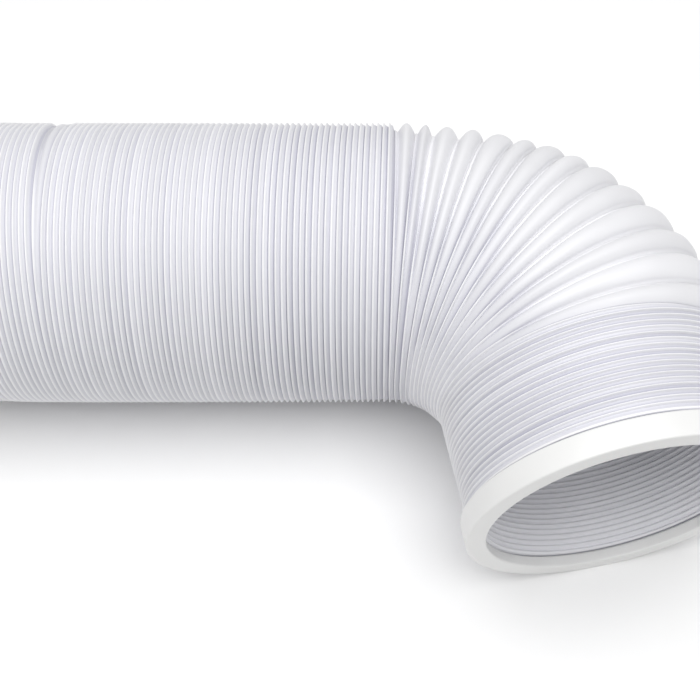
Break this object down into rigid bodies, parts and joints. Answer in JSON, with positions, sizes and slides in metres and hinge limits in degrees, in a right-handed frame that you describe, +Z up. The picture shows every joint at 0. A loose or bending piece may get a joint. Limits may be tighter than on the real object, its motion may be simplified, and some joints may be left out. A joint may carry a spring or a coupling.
{
  "type": "air conditioner exhaust hose",
  "caption": "Accordion exhaust duct with a smooth ring at each end, drawn out round one corner as it lies on the floor.",
  "frame": {"origin": "middle of the object's footprint, on the floor that it lies on", "axes": "+X along the long straight run towards the bend, -Y the side that the short run points to, +Z up"},
  "size_m": [0.425, 0.2358, 0.153],
  "materials": {
    "hose": "blown polypropylene, slightly lilac white, soft sheen",
    "collar": "moulded plastic, clean white, satin"
  },
  "bodies": {
    "root": {"corrugated_hose": "hose", "front_collar": "collar", "rear_collar": "collar"}
  },
  "joints": []
}
